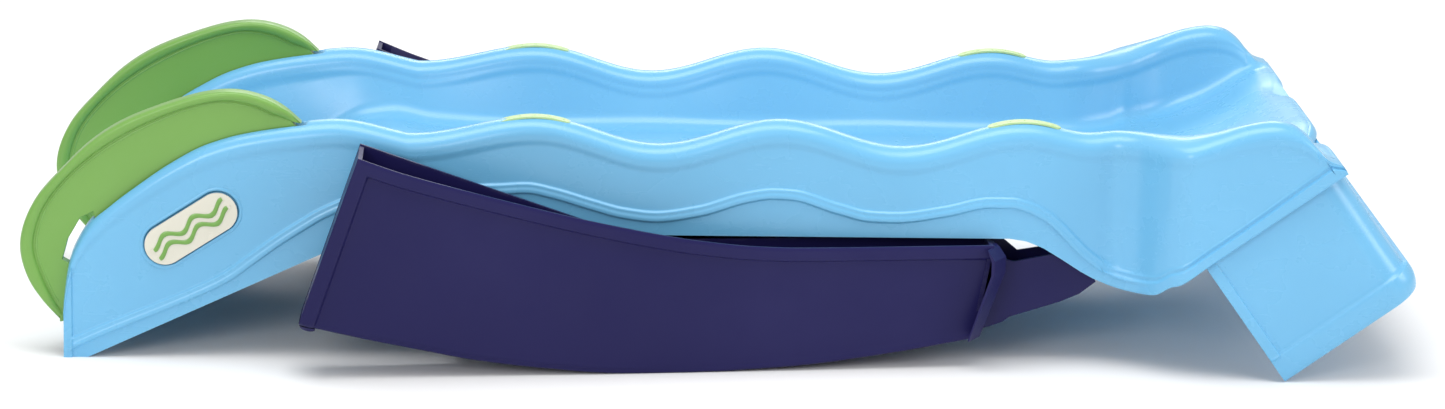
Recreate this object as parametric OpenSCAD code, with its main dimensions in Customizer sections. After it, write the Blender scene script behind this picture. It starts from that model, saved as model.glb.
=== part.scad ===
// Toddler wave slide, stowed: the chute lies level, nested into the upturned
// ladder.  +X runs towards the exit, +Y across, +Z up, ground at Z = 0.
// The chute, exit riser and ladder are thin single-skin mouldings, open below.

/* [Chute] */
// wall thickness of the chute, riser and ladder mouldings
wall = 4; // [3:0.5:5]
// width of the rounded rails
rail_w = 40; // [36:1:42]
// half distance between the rail centre lines
rail_y = 198; // [196:1:200]
// depth of the rail waves, crest above mean
wave_h = 15.5; // [10:0.5:16]

/* [Handrails] */
// thickness of the handrail web
web_t = 16; // [12:0.5:16]
// thickness of the handrail rim
rim_t = 26; // [20:1:28]

/* [Ladder] */
// depth of each tread, front to back
tread_d = 96; // [80:2:100]
// radius of the tread edges
tread_r = 9; // [6:1:12]

/* [Water] */
// outer radius of the soft tubes
tube_r = 5.5; // [5:0.1:6]
// radius of the spray holes
hole_r = 1.25; // [1:0.05:1.5]

/* [Hidden] */
$fn = 32;
blue = [0.53, 0.77, 0.94];
navy = [0.19, 0.18, 0.37];
green = [0.56, 0.75, 0.43];
lime = [0.80, 0.86, 0.55];
ivory = [0.93, 0.92, 0.86];
grey = [0.55, 0.56, 0.58];

// ---------- curve helpers ----------
function seg(t, x, i = 0) = (i >= len(t) - 2 || x < t[i + 1][0]) ? i : seg(t, x, i + 1);
function slope(t, i) = i == 0 ? (t[1][1] - t[0][1]) / (t[1][0] - t[0][0])
  : i == len(t) - 1 ? (t[i][1] - t[i - 1][1]) / (t[i][0] - t[i - 1][0])
  : let (a = (t[i][1] - t[i - 1][1]) / (t[i][0] - t[i - 1][0]),
         b = (t[i + 1][1] - t[i][1]) / (t[i + 1][0] - t[i][0]))
    (a * b <= 0 ? 0 : 2 * a * b / (a + b));
function curve(t, x) = let (i = seg(t, x), h = t[i + 1][0] - t[i][0],
  u = min(1, max(0, (x - t[i][0]) / h)), m0 = slope(t, i) * h, m1 = slope(t, i + 1) * h)
  (2*u*u*u - 3*u*u + 1) * t[i][1] + (u*u*u - 2*u*u + u) * m0
  + (-2*u*u*u + 3*u*u) * t[i + 1][1] + (u*u*u - u*u) * m1;
function line(t, x) = let (i = seg(t, x), u = (x - t[i][0]) / (t[i + 1][0] - t[i][0]))
  mix(t[i][1], t[i + 1][1], u);
function ease(u) = let (v = min(1, max(0, u))) v * v * (3 - 2 * v);
function mix(a, b, u) = a + (b - a) * u;

// lip plane of the exit: tilted 36 degrees; l runs up the lip, d drops away from it
lip_a = 36;
lip_o = [514, 102];
function lip(l, d) = [lip_o[0] + l * cos(lip_a) + d * sin(lip_a),
                      lip_o[1] + l * sin(lip_a) - d * cos(lip_a)];

// ---------- chute side view ----------
// height of the rail over the hump, then the waves, by X
hump = [[-770, 72], [-768, 88], [-764, 112], [-755, 136], [-741, 159], [-723, 178],
        [-683, 210], [-644, 236], [-601, 258], [-558, 271], [-500, 280.5], [-450, 285],
        [-366, 269]];
wave_top = 275.5;
function wave(x) = x < -366 ? curve(hump, x)
  : x < -218 ? mix(269, wave_top + wave_h, (1 - cos(180 * (x + 366) / 148)) / 2)
  : x < 355 ? wave_top + wave_h * cos(360 * (x + 218) / 286.5)
  : x < 436 ? mix(wave_top + wave_h, 278.5, (1 - cos(180 * (x - 355) / 81)) / 2)
  : curve([[436, 278.5], [470, 282], [505, 284], [540, 288]], x);
// bottom edge of the skirt, by X
skirt = [[-770, 0], [-742, 0], [-468, 128], [-445, 136], [-405, 145], [-350, 151], [-250, 155], [340, 155],
         [360, 152], [380, 144], [400, 132], [425, 116], [445, 105], [465, 98], [480, 95.5], [500, 95.5]];
// floor of the trough: level deck part, then the run
deck = [[-770, 14], [-480, 181], [-430, 205], [-400, 208], [-350, 200], [-250, 196],
        [440, 195], [505, 199]];

// exit stations: [lip position of the foot], [rail top X, Z], [floor along, above]
exits = [
  [[28, 0], [540, 288], [78, -68]],
  [[65, 0], [572, 296], [103, -52]],
  [[104, 0], [602, 305.5], [132, -41]],
  [[146, 0], [628, 311], [163, -33]],
  [[186, 0], [648, 311], [192, -29]],
  [[214, 0], [664, 306], [214, -27]],
  [[234, 0], [678, 295], [230, -25]],
  [[247, 0], [689, 282], [240, -23]],
  [[255, 0], [698, 272.5], [247, -20]],
  [[258.5, 0], [706, 268.5], [252.5, -17]],
  [[260, 0], [715, 265.5], [257, -13]]];

// half widths: the outer skin flares quickly, the inner skin and the floor more slowly
function flare(x) = ease((x - 462) / 82);
function rail_out(x) = mix(rail_y + rail_w / 2, 288, flare(x));
function rail_in(x) = mix(rail_y - rail_w / 2, 248, ease((x - 455) / 150));
function floor_half(x) = mix(156, 232, ease((x - 430) / 190));
stations = concat(
  [for (x = [-770, -768.5, -766, -762, -757, -750, -741, -731, -719, -705, -688,
             -668, -645, -618, -590, -560, -530, -500, -470, -445, -425, -405]) x],
  [for (i = [0 : 25]) -385 + i * 33],
  [462, 474, 486, 498, 510, 524]);
nv = len(stations);
ns = nv + len(exits);

// each station: [foot [x,z], top [x,z], floor [x,z], y foot, y rail, y floor, lip band, scallop, half rail]
function station(i) = i < nv
  ? let (x = stations[i], f = flare(x),
         zb = x < 500 ? line(skirt, x) : 0,
         b = x < 500 ? [x, zb] : [x, mix(95.5, 118, ease((x - 500) / 36))])
    [b, [x, wave(x)], [x, curve(deck, min(x, 505)) + (x > 505 ? (x - 505) * 0.25 : 0)],
     mix(rail_y + 23, 286, f), (rail_out(x) + rail_in(x)) / 2, floor_half(x),
     4 * ease((x - 440) / 30), 0, (rail_out(x) - rail_in(x)) / 2]
  : let (e = exits[i - nv], k = (i - nv) / (len(exits) - 1))
    [lip(e[0][0], e[0][1]), e[1], lip(e[2][0], e[2][1]),
     mix(286, 290, k), (288 + rail_in(e[1][0])) / 2 + 4 * ease(k), floor_half(e[1][0]) + 8 * k, 4,
     ease((k - 0.45) / 0.5), (288 - rail_in(e[1][0])) / 2];

// one half of the section, skirt foot to trough centre, offset inwards by o
arcs = 4;
function half(i, o) = let (s = station(i), b = s[0], t = s[1], f = s[2],
    up = (t - b) / norm(t - b), H = norm(t - b) - o,
    D = (t - f) / norm(t - f), hd = norm(t - f),
    hr = min(18, 0.45 * hd), rf = min(24, 0.4 * hd),
    rw = s[8] - o, yf = s[5], tt = t - up * o, ff = f - up * o,
    band = s[6], top = tt - up * (hr - min(o, hr * 0.3)), hh = hr - min(o, hr * 0.3),
    w0 = s[4] + rw, wi = s[4] - rw)
  concat(
    [[b[0], s[3] + band - o, b[1]],
     [b[0] + up[0] * min(15, H * 0.4), s[3] + band - o, b[1] + up[1] * min(15, H * 0.4)],
     [b[0] + up[0] * min(19, H * 0.5), s[3] - o, b[1] + up[1] * min(19, H * 0.5)]],
    [for (q = [0.4, 0.75]) let (p = b + (top - b) * max(q, min(0.6, 24 / H)))
      [p[0], mix(s[3] - o, w0, q), p[1]]],
    [for (k = [0 : arcs * 2]) let (a = k * 90 / arcs, p = top + up * hh * sin(a))
      [p[0], s[4] + rw * cos(a), p[1]]],
    [let (p = ff + (top - ff) * 0.62) [p[0], mix(yf + rf * 0.15 + o, wi, 0.62), p[1]]],
    [for (k = [0 : 3]) let (v = k / 3, wl = min(rf / max(1, hd), 0.5),
        p = ff + (top - ff) * wl * (1 - v) * (1 - v))
      [p[0], mix(mix(yf + o, wi, wl), yf - rf, v) + o * v * (1 - v), p[1]]],
    [[ff[0], (yf - rf) * 0.55, ff[1]], [ff[0], 0, ff[1]]]);
function dent(y) = exp(-pow((abs(y) - 128) / 34, 2));
function ring1(i, o) = let (h = half(i, o), n = len(h), sc = station(i)[7],
    pts = concat([for (p = h) [p[0], -p[1], p[2]]], [for (k = [n - 2 : -1 : 0]) h[k]]))
  [for (p = pts) let (g = 14 * sc * dent(p[1])) [p[0] - g * cos(lip_a), p[1], p[2] - g * sin(lip_a)]];

module chute_shell() {
  outs = [for (i = [0 : ns - 1]) ring1(i, 0)];
  ins = [for (i = [0 : ns - 1]) ring1(i, wall)];
  n = len(outs[0]);
  pts = concat([for (r = outs) for (p = r) p], [for (r = ins) for (p = r) p]);
  o2 = ns * n;
  faces = concat(
    [for (i = [0 : ns - 2]) for (k = [0 : n - 2])
      for (f = [[i*n + k, i*n + k + 1, (i + 1)*n + k + 1], [i*n + k, (i + 1)*n + k + 1, (i + 1)*n + k]]) f],
    [for (i = [0 : ns - 2]) for (k = [0 : n - 2])
      for (f = [[o2 + i*n + k, o2 + (i + 1)*n + k + 1, o2 + i*n + k + 1], [o2 + i*n + k, o2 + (i + 1)*n + k, o2 + (i + 1)*n + k + 1]]) f],
    [for (i = [0 : ns - 2])
      for (f = [[i*n, (i + 1)*n, o2 + (i + 1)*n], [i*n, o2 + (i + 1)*n, o2 + i*n]]) f],
    [for (i = [0 : ns - 2]) let (k = n - 1)
      for (f = [[i*n + k, o2 + (i + 1)*n + k, (i + 1)*n + k], [i*n + k, o2 + i*n + k, o2 + (i + 1)*n + k]]) f],
    [for (k = [0 : n - 2])
      for (f = [[k, o2 + k + 1, k + 1], [k, o2 + k, o2 + k + 1]]) f],
    [for (k = [0 : n - 2]) let (e = (ns - 1) * n)
      for (f = [[e + k, e + k + 1, o2 + e + k + 1], [e + k, o2 + e + k + 1, o2 + e + k]]) f]);
  polyhedron(pts, faces, convexity = 10);
}

// upright plate from a side-view outline, centred on y
module side_plate(y, t) translate([0, y + t / 2, 0]) rotate([90, 0, 0]) linear_extrude(t) children();

// slot that the handrail web drops into
module web_slot() side_plate(0, web_t + 1.2)
  polygon(concat([for (x = [-737 : 26 : -490]) [x, wave(x) + 30]], [[-484, 330], [-484, 240]],
                 [for (x = [-497 : -13 : -740]) [x, wave(x) - 30]]));
// notch in the upright end of the rail for the handrail's lower tab
module tab_slot() side_plate(0, web_t + 1.2) polygon([[-780, 34], [-756.5, 34], [-756.5, 115], [-780, 118]]);

bar_x = [-220, 355];
module stadium(l, w, h) { for (s = [-1, 1]) translate([s * (l - w) / 2, 0, 0]) cylinder(d = w, h = h); translate([-(l - w) / 2, -w / 2, 0]) cube([l - w, w, h]); }

badge_at = [-620, 157];
badge_tilt = 33;
// flat seat for the badge: a stadium boss behind the skirt skin
module badge_frame(s) translate([badge_at[0], s * (rail_y + 24), badge_at[1]]) rotate([0, -badge_tilt, 0])
  rotate([s * -90, 0, 0]) children();

module chute() color(blue) difference() {
  union() {
    chute_shell();
    for (s = [-1, 1]) badge_frame(s) translate([0, 0, -12]) stadium(134, 62, 12);
    // bosses under the deck for the saddle screws
    for (y = saddle_y) translate([feed_x + 17, y, feed_z + 10.2]) cylinder(r = 6, h = 26, $fn = 14);
  }
  for (s = [-1, 1]) {
    translate([0, s * rail_y, 0]) { web_slot(); tab_slot(); }
    for (x = bar_x) translate([x, s * rail_y, 258]) stadium(71, 9, 60, $fn = 14);
    // seats that let the bars lie almost flush with the crests
    for (x = bar_x) translate([x, s * rail_y, wave_top + wave_h - bar_r]) difference() {
      translate([0, 0, bar_r - 14]) stadium(89, 18, 30, $fn = 14);
      rotate([90, 0, 0]) cylinder(r = bar_r - 1.1, h = 22, center = true, $fn = 36);
    }
    badge_frame(s) translate([0, 0, -2]) stadium(123, 50, 10);
  }
  for (y = saddle_y) translate([feed_x + 17, y, feed_z + 9]) cylinder(r = 2.08, h = 20, $fn = 14);
}

// ---------- exit riser: a skirt that lifts the exit off the ground ----------
module lip_frame() translate([lip_o[0], 0, lip_o[1]]) rotate([0, -lip_a, 0]) children();
riser_l0 = 62;
// plan outline with two rounded corners at the far end
module riser_plan(l0, l1, w, r) {
  translate([l0, -w]) square([l1 - r - l0, 2 * w]);
  translate([l1 - r - 1, r - w]) square([r + 1, 2 * (w - r)]);
  for (s = [-1, 1]) translate([l1 - r, s * (w - r)]) circle(r, $fn = 64);
}
module riser_walls(w, l1, r, t, d0, d1) translate([0, 0, -d1]) linear_extrude(d1 - d0) difference() {
  riser_plan(riser_l0, l1, w, r);
  riser_plan(riser_l0 - 10, l1 - t, w - t, r - t);
}
module exit_riser() color(blue) lip_frame() {
  riser_walls(281, 254, 34, wall, 1, 150);
  // tongues that stand up inside the skirt of the exit
  for (s = [-1, 1]) translate([riser_l0, s * (281 - wall / 2) - wall / 2, -2]) cube([158, wall, 18]);
  riser_walls(286, 260, 39, wall + 5, 140, 158);
  riser_walls(284, 254.5, 37, wall + 3, 157, 171);
}

// ---------- ladder, lying on its climbing side ----------
front = [[-494, 71], [-469, 62], [-404, 46], [-350, 34], [-291, 21], [-188, 7], [-120, 1], [0, 1],
         [95, 6], [200, 19], [301, 36]];
back_out = [[-421, 268], [-373, 250], [-213, 204], [-120, 181], [-78, 172], [-28, 163], [39, 154],
            [90, 152], [320, 152]];
taper = 0.1;
draft = 0.06;
lad_y = 325;
// half width of the ladder's outer face at a point of its side view
function lad_out(x, z) = lad_y - taper * (x + 421) - draft * (268 - z);
module lad_shear(s) multmatrix([[1, 0, 0, 0], [-s * taper, 1, s * draft, s * (lad_y - taper * 421 - draft * 268)],
  [0, 0, 1, 0], [0, 0, 0, 1]]) children();
function rev(v) = [for (k = [len(v) - 1 : -1 : 0]) v[k]];
function up_by(v, d) = [for (p = v) [p[0], p[1] + d]];
module slab(s, a, b) lad_shear(s) translate([0, s > 0 ? -a : b, 0]) rotate([90, 0, 0]) linear_extrude(b - a) children();
stringer_w = 65;
shoulder = [[301, 36], [329, 118], [329, 140], [320, 152]];
module stringer(s) difference() {
  slab(s, 0, stringer_w) polygon(concat(front, shoulder, rev(back_out)));
  // hollow of the channel
  slab(s, wall, stringer_w - wall) polygon(concat(
    [[-486, 71 + wall], [-469, 62 + wall]], [for (i = [2 : 9]) [front[i][0], front[i][1] + wall]],
    [[297, 36 + wall], [325, 118], [325, 140], [318, 170], [90, 175], [-200, 300], [-417, 300]]));
  // the inner skin is cut lower than the outer one
  slab(s, stringer_w - wall - 1, stringer_w + 1) polygon([[-440, 272], [-421, 266], [-93, 149.5], [330, 149.5], [330, 200], [-200, 320], [-440, 320]]);
}
tongue = [[298, 37], [322, 43], [337, 49], [345, 55], [404, 74], [427, 84], [446, 99], [441, 110],
          [430, 120], [392, 132], [348, 123], [340, 125], [322, 134], [300, 136]];
tongue_y = 205;
// width of each ear of the tongue
ear_w = 45;
foot_dir = [0.349, 0.937];
tread_at = [[-318, 30], [-138, 4], [48, 4]];
module tread(p) {
  y = lad_out(p[0] + 15, 60) - stringer_w + wall / 2;
  translate([0, y, 0]) rotate([90, 0, 0]) linear_extrude(2 * y) difference() {
    polygon([p, p + [38, -4], p + [38 + foot_dir[0] * 20, 14], p + tread_d * foot_dir + [30, -6],
             p + tread_d * foot_dir, p + tread_d * foot_dir - [4, 0]]);
    polygon([p + [4.5, wall], p + [34, wall - 3], p + [36, 16], p + tread_d * foot_dir + [30 - 2 * wall, -5],
             p + tread_d * foot_dir + [30 - wall, 20], p + tread_d * foot_dir + [1, 20], p + tread_d * foot_dir + [0.8, -3]]);
  }
}
module ladder() color(navy) {
  union() {
    for (s = [-1, 1]) stringer(s);
    for (p = tread_at) tread(p);
    // two channel-shaped ears that reach under the deck, open to the back
    for (q = [-1, 1]) difference() {
      side_plate(q * (tongue_y - ear_w / 2), ear_w) polygon(tongue);
      side_plate(q * (tongue_y - ear_w / 2), ear_w - 2 * wall)
        polygon([[303, 44], [321, 48], [335, 54], [343, 60], [402, 79], [424, 89], [440, 101], [432, 150], [303, 150]]);
    }
    // flat pads that the upturned ladder rests on
    for (q = [-1, 1]) translate([-115, q > 0 ? 213 : -265, 0]) cube([110, 52, 5]);
    // cross wall under the tongue that ties the two shoulders
    translate([0, 212, 0]) rotate([90, 0, 0]) linear_extrude(424)
      polygon([[296, 36], [301, 36], [329, 118], [329, 134], [325, 134], [325, 118]]);
  }
}

// ---------- handrails ----------
arc = [[-492, 281], [-511, 298], [-533, 310], [-566, 318], [-600, 316], [-643, 304], [-701, 280],
       [-737, 256], [-770, 224], [-802, 187], [-818, 152], [-821, 124], [-812, 90], [-794, 62], [-774, 40]];
crease = [[-508, 284], [-524, 291], [-545, 301], [-580, 307], [-622, 299], [-682, 274], [-733, 242],
          [-770, 208], [-793, 176], [-803, 148], [-805, 126], [-797, 97], [-783, 66], [-771, 50]];
function cm(a, b, c, d, t) = 0.5 * (2*b + (c - a)*t + (2*a - 5*b + 4*c - d)*t*t + (3*b - a - 3*c + d)*t*t*t);
function smooth(v, n) = concat([for (i = [0 : len(v) - 2]) for (k = [0 : n - 1])
  cm(v[max(0, i - 1)], v[i], v[i + 1], v[min(len(v) - 1, i + 2)], k / n)], [v[len(v) - 1]]);
web_in = [[-776, 38], [-758, 42], [-758, 106], [-772, 114], [-765, 139], [-750, 165], [-735, 172],
          [-732, 160], [-717, 158], [-683, 188], [-644, 214], [-601, 236], [-558, 251], [-500, 261], [-489, 262]];
module handrail(s) color(green) {
  side_plate(s * rail_y, web_t) polygon(concat(smooth(arc, 4), web_in));
  side_plate(s * rail_y, rim_t) polygon(concat(smooth(arc, 4), rev(smooth(crease, 4))));
}
module handrail_near() handrail(-1);
module handrail_far() handrail(1);

// ---------- spray bars ----------
bar_r = 124;
tee_z = 240;
module spray_bar(x, s) color(lime) translate([x, s * rail_y, 0]) difference() {
  union() {
    // curved flange that follows the crest
    intersection() {
      translate([0, 0, 280]) stadium(87, 16, 30);
      translate([0, 0, wave_top + wave_h - bar_r]) difference() {
        rotate([90, 0, 0]) cylinder(r = bar_r + 1.4, h = 20, center = true, $fn = 96);
        rotate([90, 0, 0]) cylinder(r = bar_r - 0.8, h = 21, center = true, $fn = 96);
        translate([0, 0, -60]) cube([300, 30, 160], center = true);
      }
    }
    intersection() {
      translate([0, 0, 278]) stadium(70, 8, 18.9);
      translate([0, 0, wave_top + wave_h - bar_r]) rotate([90, 0, 0]) cylinder(r = bar_r - 0.5, h = 20, center = true, $fn = 96);
    }
    translate([0, 0, tee_z]) cylinder(r = 6, h = 40);
    translate([-17, 0, tee_z]) rotate([0, 90, 0]) cylinder(r = 5.5, h = 34);
    translate([-28, 0, tee_z]) rotate([0, 90, 0]) cylinder(r = 3.9, h = 56);
  }
  translate([-29, 0, tee_z]) rotate([0, 90, 0]) cylinder(r = 2.4, h = 58);
  translate([0, 0, tee_z]) cylinder(r = 3, h = 42);
  translate([0, 0, 281.5]) cube([64, 4, 3], center = true);
  for (k = [-2 : 2]) translate([k * 17, 0, 281]) cylinder(r = hole_r, h = 30, $fn = 24);
}
module spray_bar_near_upper() spray_bar(bar_x[0], -1);
module spray_bar_near_lower() spray_bar(bar_x[1], -1);
module spray_bar_far_upper() spray_bar(bar_x[0], 1);
module spray_bar_far_lower() spray_bar(bar_x[1], 1);

// ---------- badges: plain plates with a raised wave ----------
module badge(s) color(ivory) badge_frame(s) {
  translate([0, 0, -1.9]) stadium(120, 47, 3);
  translate([0, 0, 1.1]) linear_extrude(0.8) intersection() {
    union() { for (q = [-1, 1]) translate([q * 36, 0]) circle(d = 36); square([72, 36], center = true); }
    for (r = [-6, 6]) translate([0, r]) polygon(concat([for (x = [-56 : 4 : 56]) [x, 5 * sin(x * 9) + 2.6]],
      [for (x = [56 : -4 : -56]) [x, 5 * sin(x * 9) - 2.6]]));
  }
}
module badge_near() badge(-1);
module badge_far() badge(1);

// ---------- water feed under the rails ----------
module pipe_x(x0, x1, r) translate([x0, 0, 0]) rotate([0, 90, 0]) cylinder(r = r, h = x1 - x0);
module link_tube(s) color(grey) translate([0, s * rail_y, tee_z]) difference() {
  pipe_x(bar_x[0] + 18, bar_x[1] - 18, tube_r);
  pipe_x(bar_x[0] + 17, bar_x[1] - 17, 3.95);
}
module link_tube_near() link_tube(-1);
module link_tube_far() link_tube(1);

feed_x = -480;
feed_z = 150;
bend = 18;
// from the upper bar's spigot back into the hump, down, and across to the tee
module feed_path(r) {
  translate([0, rail_y, tee_z]) pipe_x(feed_x + bend, bar_x[0] - 18, r);
  translate([feed_x + bend, rail_y, tee_z - bend]) rotate([90, 0, 0]) rotate([0, 0, 90]) rotate_extrude(angle = 90) translate([bend, 0]) circle(r);
  translate([feed_x, rail_y, feed_z + bend]) cylinder(r = r, h = tee_z - feed_z - 2 * bend);
  translate([feed_x, rail_y - bend, feed_z + bend]) rotate([90, 0, 90]) rotate([0, 0, -90]) rotate_extrude(angle = 90) translate([bend, 0]) circle(r);
  translate([feed_x, 20, feed_z]) rotate([-90, 0, 0]) cylinder(r = r, h = rail_y - bend - 20);
}
module feed_tube(s) color(grey) mirror([0, s < 0 ? 1 : 0, 0]) difference() {
  feed_path(tube_r);
  feed_path(3.95);
  translate([bar_x[0] - 19, rail_y, tee_z]) rotate([0, 90, 0]) cylinder(r = 3.95, h = 3);
  translate([feed_x, 19, feed_z]) rotate([-90, 0, 0]) cylinder(r = 3.95, h = 3);
}
module feed_tube_near() feed_tube(-1);
module feed_tube_far() feed_tube(1);

// caps on the free spigots of the lower bars
module bar_plugs() color(grey) for (s = [-1, 1]) translate([bar_x[1], s * rail_y, tee_z]) difference() {
  pipe_x(17.5, 34, tube_r);
  pipe_x(17, 28.5, 3.95);
}

// tee with the threaded inlet pointing down
module inlet_tee() color(grey) translate([feed_x, 0, feed_z]) difference() {
  union() {
    rotate([90, 0, 0]) cylinder(r = 7, h = 36, center = true);
    rotate([90, 0, 0]) cylinder(r = 3.9, h = 58, center = true);
    translate([0, 0, -30]) cylinder(r = 8, h = 30);
    translate([0, 0, -30]) cylinder(r = 11, h = 3);
  }
  rotate([90, 0, 0]) cylinder(r = 2.4, h = 60, center = true);
  translate([0, 0, -31]) cylinder(r = 5, h = 31);
}
// swivel nut that takes a garden hose's threaded end, free to turn on the inlet
module swivel_nut() color(grey) translate([feed_x, 0, feed_z]) difference() {
  union() {
    translate([0, 0, -44]) cylinder(r = 16.5, h = 18);
    for (k = [0 : 11]) rotate([0, 0, k * 30]) translate([16.2, 0, -43]) cylinder(r = 1.6, h = 16);
    translate([0, 0, -26.01]) cylinder(r = 12, h = 4);
  }
  translate([0, 0, -45]) cylinder(r = 13.2, h = 11.5);
  translate([0, 0, -45]) cylinder(r = 12.6, h = 18.2);
  translate([0, 0, -45]) cylinder(r = 8.06, h = 30);
}
module hose_washer() color(grey) translate([feed_x, 0, feed_z - 33.1]) difference() {
  cylinder(r = 12.4, h = 3);
  translate([0, 0, -1]) cylinder(r = 6, h = 5);
}
// saddles that hold the cross run of the tube up against the deck's underside
saddle_y = [-120, -60, 60, 120];
module tube_saddles() color(grey) for (y = saddle_y) translate([feed_x, y, feed_z]) difference() {
  union() {
    rotate([90, 0, 0]) cylinder(r = 8.5, h = 12, center = true);
    translate([-7, -6, 0]) cube([14, 12, 10]);
    translate([-7, -6, 6]) cube([30, 12, 4]);
  }
  rotate([90, 0, 0]) cylinder(r = tube_r + 0.03, h = 14, center = true);
  translate([17, 0, 0]) cylinder(r = 2.1, h = 20);
}
module saddle_screws() color(grey) for (y = saddle_y) translate([feed_x + 17, y, feed_z]) {
  translate([0, 0, 2.6]) cylinder(r = 4, h = 3.4);
  translate([0, 0, 5.9]) cylinder(r = 2, h = 21);
}

chute();
exit_riser();
ladder();
handrail_near();
handrail_far();
spray_bar_near_upper();
spray_bar_near_lower();
spray_bar_far_upper();
spray_bar_far_lower();
badge_near();
badge_far();
feed_tube_near();
feed_tube_far();
link_tube_near();
link_tube_far();
bar_plugs();
inlet_tee();
swivel_nut();
hose_washer();
tube_saddles();
saddle_screws();
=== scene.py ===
import math

import bmesh
import bpy
import numpy as np
from mathutils import Matrix, Vector


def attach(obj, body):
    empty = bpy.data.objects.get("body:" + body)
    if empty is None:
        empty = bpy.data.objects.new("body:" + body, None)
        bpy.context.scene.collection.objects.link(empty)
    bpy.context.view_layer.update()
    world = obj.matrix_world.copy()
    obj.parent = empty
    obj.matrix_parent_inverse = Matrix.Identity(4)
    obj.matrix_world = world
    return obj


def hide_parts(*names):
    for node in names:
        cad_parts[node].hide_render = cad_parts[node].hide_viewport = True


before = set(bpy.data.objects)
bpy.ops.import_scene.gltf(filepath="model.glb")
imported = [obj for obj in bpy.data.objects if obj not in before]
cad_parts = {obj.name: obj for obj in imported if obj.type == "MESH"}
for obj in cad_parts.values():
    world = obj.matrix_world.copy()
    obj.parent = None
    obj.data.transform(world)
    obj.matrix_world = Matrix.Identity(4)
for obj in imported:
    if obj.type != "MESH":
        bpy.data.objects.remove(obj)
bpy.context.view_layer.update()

MM = 0.001

# ------------------------------------------------------------------ helpers


def clamp01(v):
    return max(0.0, min(1.0, v))


def ease(v):
    v = clamp01(v)
    return v * v * (3 - 2 * v)


def mix(a, b, u):
    return a + (b - a) * u


def pchip(tab, x):
    """Monotone curve through a short table of round numbers."""
    n = len(tab)
    i = 0
    while i < n - 2 and x >= tab[i + 1][0]:
        i += 1

    def sl(k):
        if k == 0:
            return (tab[1][1] - tab[0][1]) / (tab[1][0] - tab[0][0])
        if k == n - 1:
            return (tab[k][1] - tab[k - 1][1]) / (tab[k][0] - tab[k - 1][0])
        a = (tab[k][1] - tab[k - 1][1]) / (tab[k][0] - tab[k - 1][0])
        b = (tab[k + 1][1] - tab[k][1]) / (tab[k + 1][0] - tab[k][0])
        return 0.0 if a * b <= 0 else 2 * a * b / (a + b)

    h = tab[i + 1][0] - tab[i][0]
    u = clamp01((x - tab[i][0]) / h)
    m0, m1 = sl(i) * h, sl(i + 1) * h
    return ((2 * u**3 - 3 * u**2 + 1) * tab[i][1] + (u**3 - 2 * u**2 + u) * m0
            + (-2 * u**3 + 3 * u**2) * tab[i + 1][1] + (u**3 - u**2) * m1)


def line(tab, x):
    i = 0
    while i < len(tab) - 2 and x >= tab[i + 1][0]:
        i += 1
    u = (x - tab[i][0]) / (tab[i + 1][0] - tab[i][0])
    return mix(tab[i][1], tab[i + 1][1], u)


def spline(pts, per):
    """Centripetal spline through points of any dimension, per steps to a span."""
    P = [np.array(p, float) for p in pts]
    P = [2 * P[0] - P[1]] + P + [2 * P[-1] - P[-2]]
    out = []
    for i in range(1, len(P) - 2):
        p0, p1, p2, p3 = P[i - 1], P[i], P[i + 1], P[i + 2]
        t1 = max(1e-6, np.linalg.norm(p1 - p0)) ** 0.5
        t2 = t1 + max(1e-6, np.linalg.norm(p2 - p1)) ** 0.5
        t3 = t2 + max(1e-6, np.linalg.norm(p3 - p2)) ** 0.5
        for k in range(per):
            t = t1 + (t2 - t1) * k / per
            a1 = (t1 - t) / t1 * p0 + t / t1 * p1
            a2 = (t2 - t) / (t2 - t1) * p1 + (t - t1) / (t2 - t1) * p2
            a3 = (t3 - t) / (t3 - t2) * p2 + (t - t2) / (t3 - t2) * p3
            b1 = (t2 - t) / t2 * a1 + t / t2 * a2
            b2 = (t3 - t) / (t3 - t1) * a2 + (t - t1) / (t3 - t1) * a3
            out.append((t2 - t) / (t2 - t1) * b1 + (t - t1) / (t2 - t1) * b2)
    out.append(P[-2])
    return out


def make(name, verts, faces, mat, body, replaces=(), sharp=40, bevel=0.0, weld=True):
    """A mesh in millimetres becomes an object that rides a body."""
    me = bpy.data.meshes.new(name)
    me.from_pydata([(v[0] * MM, v[1] * MM, v[2] * MM) for v in verts], [], faces)
    me.validate(verbose=False)
    bm = bmesh.new()
    bm.from_mesh(me)
    if weld:
        bmesh.ops.remove_doubles(bm, verts=bm.verts, dist=1e-6)
    bmesh.ops.recalc_face_normals(bm, faces=bm.faces)
    bm.to_mesh(me)
    bm.free()
    for p in me.polygons:
        p.use_smooth = True
    me.set_sharp_from_angle(angle=math.radians(sharp))
    ob = bpy.data.objects.new(name, me)
    bpy.context.scene.collection.objects.link(ob)
    if bevel:
        add_bevel(ob, bevel)
    me.materials.append(mat)
    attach(ob, body)
    if replaces:
        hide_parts(*replaces)
    return ob


def add_bevel(ob, width_mm, segments=3, angle=35):
    b = ob.modifiers.new("edge", "BEVEL")
    b.width = width_mm * MM
    b.segments = segments
    b.limit_method = "ANGLE"
    b.angle_limit = math.radians(angle)
    b.harden_normals = True
    b.use_clamp_overlap = True
    return b


def grid_faces(rows, cols, base=0, flip=False):
    out = []
    for i in range(rows - 1):
        for k in range(cols - 1):
            a, b = base + i * cols + k, base + i * cols + k + 1
            c, d = base + (i + 1) * cols + k + 1, base + (i + 1) * cols + k
            out.append((a, d, c, b) if flip else (a, b, c, d))
    return out


# ---------------------------------------------------------------- materials


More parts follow.
